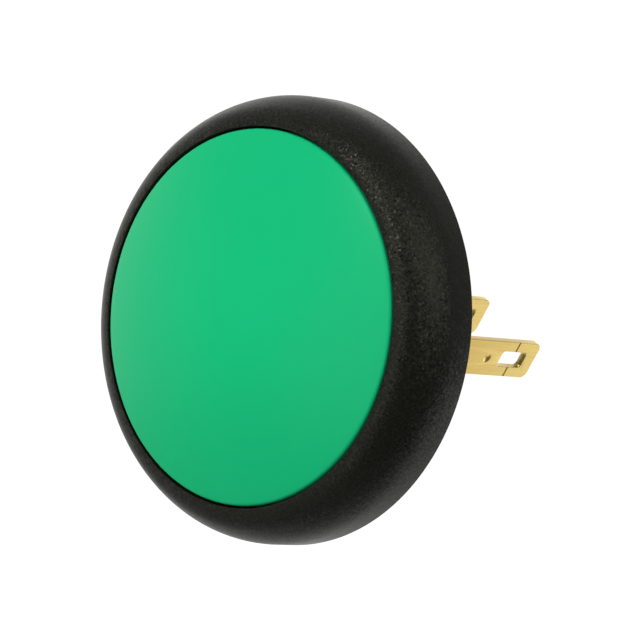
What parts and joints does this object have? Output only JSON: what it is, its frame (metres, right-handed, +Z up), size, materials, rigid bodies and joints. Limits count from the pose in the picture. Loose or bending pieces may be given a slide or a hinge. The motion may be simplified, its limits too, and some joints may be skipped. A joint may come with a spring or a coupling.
{
  "type": "pushbutton switch",
  "caption": "Round sealed momentary pushbutton switch: domed cap in a rounded bezel, round bushing for a panel hole, and flat solder tabs at the back.",
  "frame": {"origin": "centre of the panel seat, the flat back of the bezel", "axes": "+Y along the button's axis towards the terminals, so the cap faces -Y; +X towards the right terminal; +Z up, along the blades' width"},
  "size_m": [0.03, 0.0295, 0.03],
  "materials": {
    "black_plastic": "fine spark-eroded grain",
    "green_plastic": "satin",
    "white_plastic": "moulded",
    "base_plastic": "moulded",
    "epoxy": "poured",
    "seal_rubber": "matt",
    "gold_plate": "satin plating",
    "contact_silver": "coined",
    "nickel_plate": "plated",
    "spring_steel": "drawn wire"
  },
  "bodies": {
    "housing": {"housing": "black_plastic", "bushing": "black_plastic", "panel_gasket": "seal_rubber", "stem_seal": "seal_rubber", "seal_retainer": "nickel_plate", "return_spring": "spring_steel", "terminal_base": "base_plastic", "epoxy_seal": "epoxy", "terminal_left": "gold_plate", "terminal_right": "gold_plate", "fixed_contact_left": "contact_silver", "fixed_contact_right": "contact_silver"},
    "button": {"button_cap": "green_plastic", "plunger": "white_plastic", "retaining_clip": "spring_steel", "contact_spring": "spring_steel"},
    "bridge": {"contact_bridge": "gold_plate", "moving_contact_left": "contact_silver", "moving_contact_right": "contact_silver"}
  },
  "joints": [
    {"name": "button_press", "type": "slide", "parent": "housing", "child": "button", "axis": [0, 1, 0], "range_m": [0, 0.0015], "stiffness_N_per_m": 1600, "springref_m": -0.0015, "deforming": ["return_spring"]},
    {"name": "bridge_follow", "type": "slide", "parent": "button", "child": "bridge", "axis": [0, 1, 0], "range_m": [-0.0007, 0], "deforming": ["contact_spring"]}
  ],
  "couplings": [
    {"joint": "bridge_follow", "follows": "button_press", "ratio": -0.4666}
  ]
}
